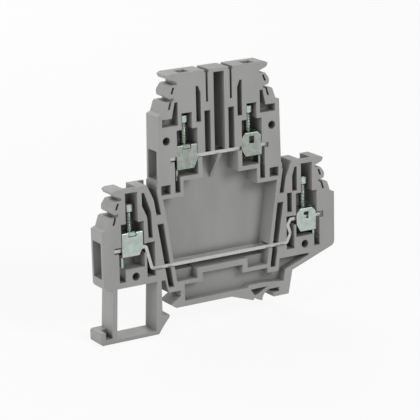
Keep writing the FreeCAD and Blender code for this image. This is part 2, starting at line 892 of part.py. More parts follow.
def tab_recess(body):
    """Recess between the foot's outer bar and its finger tab."""
    outer = "foot_outer + foot_lean"
    corners = box_loop(f"-({outer} + tab_reach - tab_wall)", f"-({outer})",
                       "-(foot_bottom - tab_wall)", "-tab_top + overcut")
    cut_loops(body, "tab_recess", [corners], "tab_deep")


def make_housing():
    """The moulded housing, in one piece with its rail foot."""
    body = new_body("housing")
    outline = new_sketch(body, "outline", "XZ")
    right = half_outline()
    corners = right + underside_outline() + flip(right, -1)[::-1]
    add_loop(outline, corners, {("arm_tip", "0"): "arm_round"})
    add_loop(outline, foot_window())
    add_loop(outline, arm_slot())
    pad(body, outline, "plate", "thickness", middle=True)
    corners = [("deck_half", "deck_bottom + rib"), ("-deck_half", "deck_bottom")]
    round_edges(body, outline, "deck_round", corners, "corner_round")
    tab = "-(foot_outer + foot_lean + tab_reach)"
    tab_corners = [(tab, "-foot_bottom"), (tab, "-tab_top")]
    round_edges(body, outline, "tab_fillet", tab_corners, "tab_round")
    for level in ("upper", "lower"):
        for side in SIDES:
            label_stair(body, level, side)
    alignment_pegs(body)
    wire_entries(body)
    driver_shafts(body)
    back_notches(body)
    tab_recess(body)
    for level in ("upper", "lower"):
        for side in SIDES:
            lug_slots(body, level, side)
    bar_channels(body)
    recesses = [lower_bay(), *both_sides([*shallow_recesses(), ledge_pocket()])]
    cut_loops(body, "recesses", recesses, "shallow_deep")
    bays = [middle_bay(), *both_sides([slanted_slot(), valley()])]
    cut_loops(body, "bays", bays, HOLLOW)
    chambers = both_sides([upper_chamber(), lower_chamber()])
    cut_loops(body, "chambers", chambers, HOLLOW)
    channel = box_loop("-channel_half", "channel_half",
                       "upper_bar_height + bar_thick", "channel_top")
    slots = [channel, left_side_slot(), *right_side_slots()]
    slots += both_sides([*tower_slots(), bar_pocket()])
    cut_loops(body, "slots", slots, HOLLOW)
    bar_gusset(body)
    return finish(body)


# Clamping cages

def make_cage(label, side, centre, bottom):
    """One cage, folded from sheet round the bar and the wire.

    It is drawn as the left-hand one stands: its notched wall to the front and
    its wire guard to the left. The right-hand ones are turned half round.
    """
    body = new_body(label)
    half = "cage_length / 2"
    depth = "cage_depth / 2"
    ring = new_sketch(body, f"{label}_ring", "YZ")
    add_loop(ring, box_loop(f"-{depth}", depth, "0", "cage_height"))
    add_loop(ring, box_loop(f"-{depth} + cage_sheet", f"{depth} - cage_sheet", "cage_sheet",
                            "cage_height - cage_top_thick"))
    pad(body, ring, f"{label}_fold", "cage_length", middle=True)
    folds = [(f"-{depth}", "0"), (depth, "0"), (depth, "cage_height"), (f"-{depth}", "cage_height")]
    round_edges(body, ring, f"{label}_bends", folds, "cage_fold", axis="X")
    bevel = new_sketch(body, f"{label}_bevel", "XZ", depth)
    add_loop(bevel, [
        (f"{half} - cage_bevel", "-overcut"),
        (f"{half} + overcut", "-overcut"),
        (f"{half} + overcut", "cage_bevel_height"),
        (half, "cage_bevel_height"),
        (f"{half} - cage_bevel", "0"),
    ])
    pocket(body, bevel, f"{label}_bevel_cut", "cage_depth")
    notch = new_sketch(body, f"{label}_notch", "XZ", depth)
    add_loop(notch, box_loop("-cage_notch / 2", "cage_notch / 2",
                             "cage_height - cage_notch_deep", "cage_height + overcut"))
    pocket(body, notch, f"{label}_notch_cut", "cage_sheet")
    tab = new_sketch(body, f"{label}_tab", "XZ", f"{depth} - cage_sheet")
    add_loop(tab, box_loop("-cage_notch / 2 + cage_tab_gap", "cage_notch / 2 - cage_tab_gap",
                           "cage_height - cage_notch_deep + cage_tab_gap",
                           "cage_height - cage_tab_gap"))
    pad(body, tab, f"{label}_tab_pad", "cage_sheet * 3 / 4")
    eye = new_sketch(body, f"{label}_eye", "XZ", f"-({depth})")
    add_loop(eye, box_loop("-cage_eye_width / 2", "cage_eye_width / 2",
                           "cage_eye_centre - cage_eye_height / 2",
                           "cage_eye_centre + cage_eye_height / 2"))
    pocket(body, eye, f"{label}_eye_cut", "cage_sheet", reverse=True)
    ears = new_sketch(body, f"{label}_ears", "XZ", f"-({depth})")
    for sign in SIDES.values():
        add_loop(ears, flip([
            (f"{half} - cage_ear", "cage_height + overcut"),
            (f"{half} - cage_ear", "cage_height"),
            (half, "cage_height - cage_ear"),
            (f"{half} + overcut", "cage_height - cage_ear"),
            (f"{half} + overcut", "cage_height + overcut"),
        ], sign))
    pocket(body, ears, f"{label}_ears_cut", "cage_depth / 2", reverse=True)
    guard = new_sketch(body, f"{label}_guard", "XZ")
    add_loop(guard, box_loop(f"-{half}", f"-{half} + cage_sheet", "-guard_length",
                             "cage_sheet"))
    pad(body, guard, f"{label}_guard_pad", "guard_width", middle=True)
    hole = new_sketch(body, f"{label}_hole", "XY", "cage_height")
    add_circle(hole, "0", "0", "shank_radius + screw_play")
    pocket(body, hole, f"{label}_hole_cut", "cage_top_thick + overcut")
    sign = SIDES[side]
    body.setExpression("Placement.Base.x", bound(f"{sign} * {centre}"))
    body.setExpression("Placement.Base.y", bound("screw_axis"))
    body.setExpression("Placement.Base.z", bound(bottom))
    if side == "right":
        body.Placement.Rotation = FreeCAD.Rotation(FreeCAD.Vector(0, 0, 1), 180)
    return finish(body)


# Clamping screws

def make_screw(label, side, centre, seat):
    """Slotted cheese-head screw; its tip stands at the seat height."""
    body = new_body(label)
    profile = new_sketch(body, f"{label}_profile", "XZ")
    under = "screw_length - head_height"
    add_loop(profile, [
        ("0", "0"),
        ("shank_radius - point_length / 2", "0"),
        ("shank_radius", "point_length"),
        ("shank_radius", under),
        ("head_radius", under),
        ("head_radius", "screw_length - head_bevel"),
        ("head_radius - head_bevel", "screw_length"),
        ("0", "screw_length"),
    ])
    turned = body.newObject("PartDesign::Revolution", f"{label}_turned")
    turned.Profile = profile
    turned.ReferenceAxis = (profile, ["V_Axis"])
    turned.Angle = 360
    body.Tip = turned
    slot = new_sketch(body, f"{label}_slot", "XY", "screw_length")
    add_loop(slot, box_loop("-head_radius - overcut", "head_radius + overcut",
                            "-driver_slot / 2", "driver_slot / 2"))
    pocket(body, slot, f"{label}_slot_cut", "driver_slot_deep")
    body.setExpression("Placement.Base.x", bound(f"{SIDES[side]} * {centre}"))
    body.setExpression("Placement.Base.y", bound("screw_axis"))
    body.setExpression("Placement.Base.z", bound(seat))
    return body


# Current bars

def make_upper_bar():
    """Straight bar that joins the two upper terminals."""
    body = new_body("upper_current_bar")
    profile = new_sketch(body, "upper_bar_side", "XZ")
    add_loop(profile, box_loop("-upper_bar_half", "upper_bar_half", "upper_bar_height",
                               "upper_bar_height + bar_thick"))
    pad(body, profile, "upper_bar_pad", "bar_width", middle=True)
    body.setExpression("Placement.Base.y", bound("screw_axis"))
    return body


def make_lower_bar():
    """Bar that joins the two lower terminals, cranked up at both ends."""
    body = new_body("lower_current_bar")
    low = "lower_bar_height + bar_thick / 2"
    high = "lower_bar_tips + bar_thick / 2"
    rise = f"({high} - {low})"
    path = new_sketch(body, "lower_bar_path", "XZ")
    add_bent_run(path, [
        ("-lower_bar_half", high),
        ("-bar_left_shoulder", high),
        ("-bar_left_knee", f"{low} + {rise} / 2"),
        ("-bar_foot_reach", low),
        ("bar_foot_reach", low),
        ("bar_right_knee", f"{low} + {rise} / 3"),
        ("bar_right_shoulder", f"{high} - {rise} / 5"),
        ("bar_right_shoulder + bar_thick", high),
        ("lower_bar_half", high),
    ], "bar_bend_round")
    section = new_sketch(body, "lower_bar_section", "YZ", "-lower_bar_half")
    add_loop(section, box_loop("-bar_width / 2", "bar_width / 2", f"{high} - bar_thick / 2",
                               f"{high} + bar_thick / 2"))
    bar = body.newObject("PartDesign::AdditivePipe", "lower_bar_sweep")
    bar.Profile = section
    bar.Spine = path
    body.Tip = bar
    body.setExpression("Placement.Base.y", bound("screw_axis"))
    return body


def failed_objects():
    """Names of everything in the document that did not build."""
    return [item.Name for item in doc.Objects if {"Invalid", "Error"} & set(item.State)]


def write_parts(bodies):
    """Check every piece, then write each to its own file."""
    failed = failed_objects()
    if failed:
        raise ValueError(f"not built: {failed}")
    shapes = {body.Label: body.Shape for body in bodies}
    for label, shape in shapes.items():
        if shape.isNull() or not shape.isValid() or len(shape.Solids) != 1:
            raise ValueError(f"{label} is not one valid solid")
    os.makedirs("parts", exist_ok=True)
    for label, shape in shapes.items():
        shape.exportStep(f"parts/{label}.step")
        box = shape.BoundBox
        print(f"{label}: {box.XLength:.2f} x {box.YLength:.2f} x {box.ZLength:.2f} mm,",
              f"{shape.Volume:.1f} mm3")


fill_sheet()
pieces = [make_housing()]
BAR_UNDERSIDES = {"upper": "upper_bar_height", "lower": "lower_bar_tips"}
for level in ("upper", "lower"):
    for side in SIDES:
        tag = f"{level}_{side}"
        bar = BAR_UNDERSIDES[level]
        seat = f"{bar} + bar_thick + screw_lift"
        if tag == "lower_left":
            seat = f"{seat} + lower_left_lift"
        bottom = f"({bar} - {tag}_drop)"
        pieces.append(make_cage(f"clamping_cage_{tag}", side, f"{level}_centre", bottom))
        pieces.append(make_screw(f"clamping_screw_{tag}", side, f"{level}_centre", seat))
pieces.append(make_upper_bar())
pieces.append(make_lower_bar())
doc.recompute()
write_parts(pieces)
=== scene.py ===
# %% [markdown]
# # A feed-through terminal block in Blender
# The real object is a slim grey moulding, open on one side. Inside it two bent
# metal bars join four screw clamps. Its solids come from a CAD model, so this
# lesson loads them as a fixed frame, gives every surface a material of its own
# and makes only what the solids leave plain: the threads of the screws.

# %% Load the solids
from math import radians

import bmesh
import bpy
import numpy as np
from mathutils import Matrix, Vector


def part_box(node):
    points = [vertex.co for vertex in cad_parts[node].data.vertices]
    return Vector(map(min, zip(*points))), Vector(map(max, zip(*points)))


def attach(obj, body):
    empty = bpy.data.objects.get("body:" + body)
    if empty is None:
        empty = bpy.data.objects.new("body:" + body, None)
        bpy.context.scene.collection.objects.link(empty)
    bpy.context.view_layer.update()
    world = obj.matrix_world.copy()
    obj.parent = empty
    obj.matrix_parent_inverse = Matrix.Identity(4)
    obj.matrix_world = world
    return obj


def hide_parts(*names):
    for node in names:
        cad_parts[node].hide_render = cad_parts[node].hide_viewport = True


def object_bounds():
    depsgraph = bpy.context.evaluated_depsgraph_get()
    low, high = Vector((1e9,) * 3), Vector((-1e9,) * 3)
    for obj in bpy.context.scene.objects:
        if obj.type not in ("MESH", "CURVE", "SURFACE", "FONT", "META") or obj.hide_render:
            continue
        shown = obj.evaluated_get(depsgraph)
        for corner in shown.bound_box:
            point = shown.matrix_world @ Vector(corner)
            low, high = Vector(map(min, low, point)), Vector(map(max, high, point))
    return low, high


MM = 0.001
MICROMETRE = 1e-6
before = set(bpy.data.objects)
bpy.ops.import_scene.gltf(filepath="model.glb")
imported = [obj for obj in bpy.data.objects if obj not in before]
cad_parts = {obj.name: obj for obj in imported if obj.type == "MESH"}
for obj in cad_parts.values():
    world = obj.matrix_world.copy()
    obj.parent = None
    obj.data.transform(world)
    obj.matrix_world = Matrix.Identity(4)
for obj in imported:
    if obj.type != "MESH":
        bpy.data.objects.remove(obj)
solid_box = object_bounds()
print("solids:", sorted(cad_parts))

# %% [markdown]
# ## Camera
# A product photograph is taken from far away with a long lens, so that upright
# edges stay nearly parallel. The camera stands about half a metre from the
# block, to the left of its open side and a little above it. Its axes are worked
# out from three angles and put straight into the camera's matrix, because that
# leaves no doubt about the order of the turns.

# %% Directions of the camera
AZIMUTH = radians(30.508)
ELEVATION = radians(15.45)
ROLL = radians(-1.3235)


def camera_axes(azimuth, elevation, roll):
    """Right, up and forward directions: forward turns by the azimuth about Z and
    dips by the elevation; right and up then turn about it by the roll."""
    forward = Vector((np.sin(azimuth) * np.cos(elevation),
                      np.cos(azimuth) * np.cos(elevation), -np.sin(elevation)))
    right = Vector((np.cos(azimuth), -np.sin(azimuth), 0.0))
    up = right.cross(forward)
    turned_right = right * np.cos(roll) + up * np.sin(roll)
    turned_up = up * np.cos(roll) - right * np.sin(roll)
    return turned_right, turned_up, forward


right, up, forward = camera_axes(AZIMUTH, ELEVATION, ROLL)
print("the camera looks along", [round(c, 3) for c in forward])

# %% [markdown]
# The lens and the distance follow from two measures in the picture: the focal
# length in pixels, and how many pixels a millimetre takes up at the block's
# origin. The camera then slides sideways until the origin falls on its pixel.

# %% Place the camera
FOCAL_PIXELS = 2048.3
FRAME_PIXELS = 420
ORIGIN_PIXEL = (217.6, 295.5)
PIXELS_PER_MM = 3.749
SENSOR_MM = 36.0
NEAREST = 0.01

distance = FOCAL_PIXELS / PIXELS_PER_MM * MM
per_pixel = distance / FOCAL_PIXELS
middle = FRAME_PIXELS / 2
place = -distance * forward
place -= (ORIGIN_PIXEL[0] - middle) * per_pixel * right
place += (ORIGIN_PIXEL[1] - middle) * per_pixel * up

lens = bpy.data.cameras.new("camera")
lens.sensor_width = SENSOR_MM
lens.lens = FOCAL_PIXELS / FRAME_PIXELS * SENSOR_MM
lens.clip_start = NEAREST
camera = bpy.data.objects.new("camera", lens)
turn = Matrix((right, up, -forward)).transposed().to_4x4()
camera.matrix_world = Matrix.Translation(place) @ turn
bpy.context.scene.collection.objects.link(camera)
bpy.context.scene.camera = camera
print("camera at", [round(c / MM) for c in place], "mm, lens", round(lens.lens), "mm")

# %% [markdown]
# ## Surroundings
# Plated metal needs something bright to mirror, and a product photograph has a
# white background. So the world is white where it is seen, straight or in a
# reflection. As a light it is much dimmer, so that narrow slots stay dark. The
# Light Path node tells the two kinds of ray apart.

# %% White surroundings
AMBIENT = 0.36


def seen_directly(nodes, links):
    """1 for rays from the camera, a reflection or through glass, and 0 for the
    rays that carry light to other surfaces: the largest of the three flags."""
    rays = nodes.new("ShaderNodeLightPath")
    seen = rays.outputs["Is Camera Ray"]
    for other in ("Is Glossy Ray", "Is Transmission Ray"):
        larger = nodes.new("ShaderNodeMath")
        larger.operation = "MAXIMUM"
        links.new(seen, larger.inputs[0])
        links.new(rays.outputs[other], larger.inputs[1])
        seen = larger.outputs[0]
    return seen


def white_world():
    """A world that is white where it is seen or mirrored, and dimmer as a light."""
    world = bpy.data.worlds.new("surroundings")
    world.use_nodes = True
    nodes, links = world.node_tree.nodes, world.node_tree.links
    nodes.clear()
    dim = nodes.new("ShaderNodeBackground")
    dim.inputs["Strength"].default_value = AMBIENT
    bright = nodes.new("ShaderNodeBackground")
    for background in (dim, bright):
        background.inputs["Color"].default_value = (1, 1, 1, 1)
    mix = nodes.new("ShaderNodeMixShader")
    links.new(seen_directly(nodes, links), mix.inputs[0])
    links.new(dim.outputs[0], mix.inputs[1])
    links.new(bright.outputs[0], mix.inputs[2])
    out = nodes.new("ShaderNodeOutputWorld")
    links.new(mix.outputs[0], out.inputs["Surface"])
    return world


bpy.context.scene.view_settings.view_transform = "Standard"
bpy.context.scene.world = white_world()
print("world:", bpy.context.scene.world.name)

# %% [markdown]
# ## Lamps
# A grey part shows its ribs only if light falls across them. The key lamp does
# that from above and a little to the right, a wide lamp lights the end on the
# left, and one behind keeps the far rims clear. All three are large squares,
# because a large lamp gives a soft edge to every shadow.

# %% Soft lamps
LAMP_TARGET = Vector((0, 0, 0.03))
LAMPS = {"key": ((0.25, -0.66, 0.45), 0.3, 2.8),
         "side": ((-0.7, -0.1, 0.25), 0.4, 2.6),
         "back": ((0.1, 0.6, 0.4), 0.4, 1.5)}


def soft_lamp(name, position, size, watts):
    """A square area lamp at a position in metres, aimed at the block's middle."""
    light = bpy.data.lights.new(name, "AREA")
    light.shape = "SQUARE"
    light.size = size
    light.energy = watts
    lamp = bpy.data.objects.new(name, light)
    lamp.location = position
    aim = LAMP_TARGET - Vector(position)
    lamp.rotation_euler = aim.to_track_quat("-Z", "Y").to_euler()
    bpy.context.scene.collection.objects.link(lamp)


for name, (position, size, watts) in LAMPS.items():
    soft_lamp(name, position, size, watts)
print("lamps:", [light.name for light in bpy.data.lights])

# %% [markdown]
# ## Floor
# The floor is a plain pale sheet under the foot. It is far larger than the
# block, so its rim is never seen. Most of its brightness, as it is seen directly,
# is plain white, so that it runs into the white surroundings. The rest is lit by
# the lamps, and so keeps a faint shadow where the block stands.

# %% Lay the floor
FLOOR_HALF = 4.0
FLOOR_GREY = 0.9
FLOOR_ROUGHNESS = 0.9
FLOOR_WHITENESS = 0.85


def flat_sheet(name, half, height):
    """A square sheet at a height: one face through the corners (±half, ±half)."""
    corners = [(-half, -half, height), (half, -half, height),
               (half, half, height), (-half, half, height)]
    mesh = bpy.data.meshes.new(name)
    mesh.from_pydata(corners, [], [(0, 1, 2, 3)])
    sheet = bpy.data.objects.new(name, mesh)
    bpy.context.scene.collection.objects.link(sheet)
    return sheet


def pale_paper():
    """Matt paper, mixed with plain white for the rays that see it directly. The
    white is no lamp: it isn't sampled, and no ray that carries light meets it."""
    paper = bpy.data.materials.new("pale paper")
    paper.use_nodes = True
    paper.cycles.emission_sampling = "NONE"
    nodes, links = paper.node_tree.nodes, paper.node_tree.links
    shader = nodes["Principled BSDF"]
    shader.inputs["Base Color"].default_value = (FLOOR_GREY, FLOOR_GREY, FLOOR_GREY, 1)
    shader.inputs["Roughness"].default_value = FLOOR_ROUGHNESS
    share = nodes.new("ShaderNodeMath")
    share.operation = "MULTIPLY"
    share.inputs[1].default_value = FLOOR_WHITENESS
    links.new(seen_directly(nodes, links), share.inputs[0])
    white = nodes.new("ShaderNodeEmission")
    mix = nodes.new("ShaderNodeMixShader")
    links.new(share.outputs[0], mix.inputs[0])
    links.new(shader.outputs[0], mix.inputs[1])
    links.new(white.outputs[0], mix.inputs[2])
    links.new(mix.outputs[0], nodes["Material Output"].inputs["Surface"])
    return paper


floor = flat_sheet("floor", FLOOR_HALF, solid_box[0][2])
floor.data.materials.append(pale_paper())
print("floor at", round(solid_box[0][2] / MM, 2), "mm")

# %% [markdown]
# ## Building materials from nodes
# Every finish here is a Principled shader fed by noise that is read in object
# coordinates, so the grain keeps its real size and stays on a piece that moves.
# A small class keeps the node wiring readable: each of its methods adds a node
# or two and hands back the output.

# %% A helper for noise and colour
NOISE_LOW, NOISE_HIGH = 0.35, 0.65


class Finish:
    """One material: its shader, its object coordinates and ways to add nodes."""

    def __init__(self, name, metallic):
        self.material = bpy.data.materials.new(name)
        self.material.use_nodes = True
        self.nodes = self.material.node_tree.nodes
        self.links = self.material.node_tree.links
        self.shader = self.nodes["Principled BSDF"]
        self.shader.inputs["Metallic"].default_value = metallic
        self.place = self.nodes.new("ShaderNodeTexCoord").outputs["Object"]

    def noise(self, size_mm, detail=3.0, stretch=(1, 1, 1)):
        """Noise whose blobs are about size_mm across, longer along an axis where
        stretch is more than 1 there."""
        mapping = self.nodes.new("ShaderNodeMapping")
        scale = [1 / (size_mm * MM * longer) for longer in stretch]
        mapping.inputs["Scale"].default_value = scale
        self.links.new(self.place, mapping.inputs["Vector"])
        node = self.nodes.new("ShaderNodeTexNoise")
        node.inputs["Scale"].default_value = 1.0
        node.inputs["Detail"].default_value = detail
        self.links.new(mapping.outputs[0], node.inputs["Vector"])
        return node.outputs["Fac"]

    def spread(self, value, low, high, start=NOISE_LOW, end=NOISE_HIGH):
        """Maps start..end of a value to low..high in a straight line. Noise seldom
        leaves the range that start and end have when they aren't given."""
        node = self.nodes.new("ShaderNodeMapRange")
        for socket, number in zip(node.inputs[1:5], (start, end, low, high)):
            socket.default_value = number
        self.links.new(value, node.inputs["Value"])
        return node.outputs["Result"]

    def blend(self, factor, first, second):
        """A colour between two; each is a tuple or another node's colour."""
        node = self.nodes.new("ShaderNodeMix")
        node.data_type = "RGBA"
        self.links.new(factor, node.inputs["Factor"])
        for socket, colour in ((node.inputs[6], first), (node.inputs[7], second)):
            if isinstance(colour, tuple):
                socket.default_value = (*colour, 1)
            else:
                self.links.new(colour, socket)
        return node.outputs[2]

    def wire(self, colour, roughness=None):
        """Connects a colour, and a roughness where there is one, to the shader. The
        colour is remembered, so that a later layer can go over it."""
        self.colour = colour
        self.links.new(colour, self.shader.inputs["Base Color"])
        if roughness:
            self.links.new(roughness, self.shader.inputs["Roughness"])


print("finish helper ready")

# %% [markdown]
# ## Rims, gaps and bumps
# Real parts are never quite smooth. Blender can find their rims and gaps by
# itself: the Bevel node bends the normal near an edge, and the Ambient Occlusion
# node feels how much open air a point has round it. Rims made paler are partly
# wear and partly a painted highlight; gaps made darker are painted shade. A
# second class adds both, and bumps, to the first.

# %% A helper for rims, gaps and bumps
BEVEL_SAMPLES = 4
GAP_SAMPLES = 8
RIM_SHARP, RIM_FLAT = 0.75, 0.995
ALONG_FACE, ACROSS_FACE = 0.5, 0.8


class WornFinish(Finish):
    """A finish that also knows its rims, its gaps and its bumps."""

    def rounded(self, radius_mm):
        """A normal that turns smoothly over edges, as if they had that radius."""
        bevel = self.nodes.new("ShaderNodeBevel")
        bevel.samples = BEVEL_SAMPLES
        bevel.inputs["Radius"].default_value = radius_mm * MM
        return bevel.outputs["Normal"]

    def edges(self, radius_mm):
        """0 on flat faces and 1 along edges: how far a rounded normal leaves the
        true one, by the dot product of the two."""
        true = self.nodes.new("ShaderNodeNewGeometry")
        dot = self.nodes.new("ShaderNodeVectorMath")
        dot.operation = "DOT_PRODUCT"
        self.links.new(self.rounded(radius_mm), dot.inputs[0])
        self.links.new(true.outputs["Normal"], dot.inputs[1])
        return self.spread(dot.outputs["Value"], 1.0, 0.0, RIM_SHARP, RIM_FLAT)

    def facing(self, axis):
        """0 on faces that run along an axis and 1 on faces that look along it: the
        size of the normal's part along that axis."""
        parts = self.nodes.new("ShaderNodeSeparateXYZ")
        normal = self.nodes.new("ShaderNodeTexCoord").outputs["Normal"]
        self.links.new(normal, parts.inputs[0])
        size = self.nodes.new("ShaderNodeMath")
        size.operation = "ABSOLUTE"
        self.links.new(parts.outputs[axis], size.inputs[0])
        return self.spread(size.outputs[0], 0.0, 1.0, ALONG_FACE, ACROSS_FACE)

    def crevices(self, reach_mm, most=1.0, shut=0.3, clear=0.95):
        """0 in the open and most in gaps that are about reach_mm wide. It is full
        where the share of open directions is shut, and ends where it is clear."""
        open_air = self.nodes.new("ShaderNodeAmbientOcclusion")
        open_air.samples = GAP_SAMPLES
        open_air.inputs["Distance"].default_value = reach_mm * MM
        return self.spread(open_air.outputs["AO"], most, 0.0, shut, clear)

    def relief(self, heights, normal=None):
        """Chains bumps on a normal: each pair is a value and its height in
        micrometres."""
        for value, height in heights:
            bump = self.nodes.new("ShaderNodeBump")
            bump.inputs["Distance"].default_value = height * MICROMETRE
            self.links.new(value, bump.inputs["Height"])
            if normal:
                self.links.new(normal, bump.inputs["Normal"])
            normal = bump.outputs["Normal"]
        self.links.new(normal, self.shader.inputs["Normal"])


print("wear helper ready")

# %% [markdown]
# ## Grey moulding
# The housing is glass-filled polyamide: a matt mid grey with a very fine spark
# texture from the mould, faint flow marks where the plastic froze, and rims a
# little paler, partly rubbed and partly a painted highlight. Three sizes of noise
# give those three things, and a rounded normal softens the moulded edges. Deep
# narrow slots are darkened with painted shade.

# %% Housing plastic
CLOUD_MM, CLOUD_STRETCH = 7.0, (1.0, 1.0, 2.5)
SPARK_MM = 0.35
SPECKLE_MM = 0.12
GREY_DULL, GREY_CLEAR = (0.266, 0.264, 0.259), (0.304, 0.303, 0.298)
GREY_SPECKLE, SPECKLE_SHARE = (0.335, 0.333, 0.33), 0.35
# paler rims: partly wear, partly a painted highlight on the edges
GREY_RIM_WEAR_AND_HIGHLIGHT, GREY_RIM_WEAR_AND_HIGHLIGHT_MM = (0.385, 0.383, 0.38), 0.18
GREY_ROUGHNESS = (0.5, 0.62)
EDGE_RADIUS_MM = 0.15
# painted shade: deep narrow slots are darkened towards this colour
SLOT_PAINTED_SHADE = (0.08, 0.08, 0.078)
SLOT_SHADE_GAPS = {"reach_mm": 5.0, "most": 0.55, "shut": 0.1, "clear": 0.7}
CLOUD_HEIGHT, SPARK_HEIGHT, SPECKLE_HEIGHT = 25, 14, 6


def moulded_grey():
    """Mid grey with flow clouds, fine speckle, rims paler as wear and as a painted
    highlight, painted shade in deep slots, and a spark texture."""
    finish = WornFinish("grey moulding", 0.0)
    clouds = finish.noise(CLOUD_MM, 2.0, CLOUD_STRETCH)
    speckle = finish.noise(SPECKLE_MM, 2.0)
    base = finish.blend(finish.spread(clouds, 0, 1), GREY_DULL, GREY_CLEAR)
    grain = finish.blend(finish.spread(speckle, 0, SPECKLE_SHARE), base, GREY_SPECKLE)
    # rims lightened, partly wear and partly a painted highlight
    rims = finish.blend(finish.edges(GREY_RIM_WEAR_AND_HIGHLIGHT_MM), grain, GREY_RIM_WEAR_AND_HIGHLIGHT)
    # deep slots darkened by ambient occlusion: painted shade
    finish.wire(finish.blend(finish.crevices(**SLOT_SHADE_GAPS), rims, SLOT_PAINTED_SHADE),
                finish.spread(clouds, *GREY_ROUGHNESS))
    finish.relief([(clouds, CLOUD_HEIGHT), (finish.noise(SPARK_MM), SPARK_HEIGHT),
                   (speckle, SPECKLE_HEIGHT)], finish.rounded(EDGE_RADIUS_MM))
    return finish.material


housing_grey = moulded_grey()
print("made", housing_grey.name)

# %% [markdown]
# ## Plated metals
# The cages are folded from rolled sheet steel, zinc plated and passivated, which
# leaves a cool green cast and fine upright rolling lines. The screws have the
# same plating over turned metal, where the lines have no direction. One function
# makes them all: they differ in colour, roughness and the way their lines run.
# All are darkened in gaps and corners by painted shade and a painted reflection
# of the dark housing, and their edges are paler, partly as wear and partly as a
# painted highlight.

# %% Zinc
# painted shade and painted reflection of the dark housing in metal gaps and corners
PAINTED_GAP_SHADE, GAP_SHADE_REACH_MM = (0.09, 0.1, 0.095), 0.8
PATCH_MM = 1.1
WAVE_MM = 0.5
METAL_RIM_MM = 0.12
LARGEST_SHARE = 0.6
UPRIGHT = (0.25, (1, 1, 12))
TURNED = (0.12, (1, 1, 1))


def plated(name, dark, light, edge, lines, rough, dents=(12, 3)):
    """Plating: two tones in soft patches, bright edges that are partly wear and partly a
    painted highlight, painted shade in gaps, and fine lines.

    dark, light and edge are colours, lines is the width in millimetres and the
    stretch of the lines, rough the lowest and highest roughness, and dents the
    heights in micrometres of the soft waves and of the lines."""
    finish = WornFinish(name, 1.0)
    patches = finish.noise(PATCH_MM, 4.0)
    drawn = finish.noise(lines[0], 2.0, lines[1])
    tone = finish.blend(finish.spread(patches, 0, LARGEST_SHARE), dark, light)
    lined = finish.blend(finish.spread(drawn, 0, LARGEST_SHARE), tone, light)
    # edges brightened, partly wear and partly a painted highlight
    rimmed = finish.blend(finish.edges(METAL_RIM_MM), lined, edge)
    # gaps and corners darkened: painted shade and painted reflection
    finish.wire(finish.blend(finish.crevices(GAP_SHADE_REACH_MM), rimmed, PAINTED_GAP_SHADE),
                finish.spread(patches, *rough))
    finish.relief([(finish.noise(WAVE_MM), dents[0]), (drawn, dents[1])])
    return finish


# the third colour of each finish is its edge: partly wear, partly a painted highlight
zinc_upper = plated("dull green zinc", (0.225, 0.255, 0.232), (0.385, 0.415, 0.383),
                    (0.85, 0.88, 0.85), UPRIGHT, (0.24, 0.4)).material
zinc_lower = plated("pale green zinc", (0.34, 0.4, 0.372), (0.49, 0.555, 0.522),
                    (0.88, 0.92, 0.9), UPRIGHT, (0.24, 0.4)).material
zinc_screw = plated("turned zinc", (0.33, 0.39, 0.34), (0.56, 0.63, 0.56),
                    (0.86, 0.92, 0.86), TURNED, (0.16, 0.3), (4, 2)).material
print("made", [m.name for m in (zinc_upper, zinc_lower, zinc_screw)])

# %% [markdown]
# The bars are stamped from tin plated strip. A stamped part has two kinds of
# face: the rolled ones are bright, with lines along the strip, and the sheared
# ones are dull and torn. The direction of the normal tells them apart, because
# the sheared edges look towards the open side and the back. The faces that look
# along Y are darker partly for that and partly as a painted reflection of a dark
# room in front, against the bright sky mirrored on the rolled tops.

# %% Tin
ALONG = (0.2, (60, 1, 1))
ROLLED_TIN = ((0.72, 0.735, 0.71), (0.88, 0.895, 0.87), (0.96, 0.96, 0.94))
# faces along Y: duller sheared metal, partly a painted reflection of a dark room
SHEARED_AND_SHADED_TIN = ((0.42, 0.425, 0.41), (0.56, 0.565, 0.55))
TORN_MM = 0.3


def tin_strip():
    """Stamped strip: bright rolled faces with lines, and darker faces along Y, partly
    duller sheared metal and partly a painted reflection.
    """
    finish = plated("tin strip", *ROLLED_TIN, ALONG, (0.28, 0.4), (2, 1))
    torn_and_shaded = finish.blend(finish.spread(finish.noise(TORN_MM), 0, 1), *SHEARED_AND_SHADED_TIN)
    # faces along Y darkened: sheared metal plus a painted reflection
    finish.wire(finish.blend(finish.facing("Y"), finish.colour, torn_and_shaded))
    return finish.material


tin_bar = tin_strip()
print("made", tin_bar.name)

# %% [markdown]
# ## Give the solids their finishes
# The solids already have the right shapes, so they stay and only their material
# slots change. A node's name tells which finish it takes. The upper cages are
# a little darker than the lower ones.

# %% Dress the solids
FINISHES = {"housing": housing_grey, "clamping_cage_upper": zinc_upper,
            "clamping_cage_lower": zinc_lower, "current_bar": tin_bar}


def dress(solid, material):
    """Puts a material in every slot of a solid, or in a new one if it has none."""
    if not solid.material_slots:
        solid.data.materials.append(material)
    for slot in solid.material_slots:
        slot.material = material


for node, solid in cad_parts.items():
    for word, material in FINISHES.items():
        if word in node:
            dress(solid, material)
            print(node, "takes", material.name)

# %% [markdown]
# ## Surfaces from rings
# A turned part is a stack of closed rings. Each ring is a row of points, the
# rows are joined by quads, and one point at each end closes the stack. Working
# the rows out as one array keeps the shape a formula instead of a modelling
# session.

# %% A helper for stacked rings
SMOOTH_BELOW = radians(32)


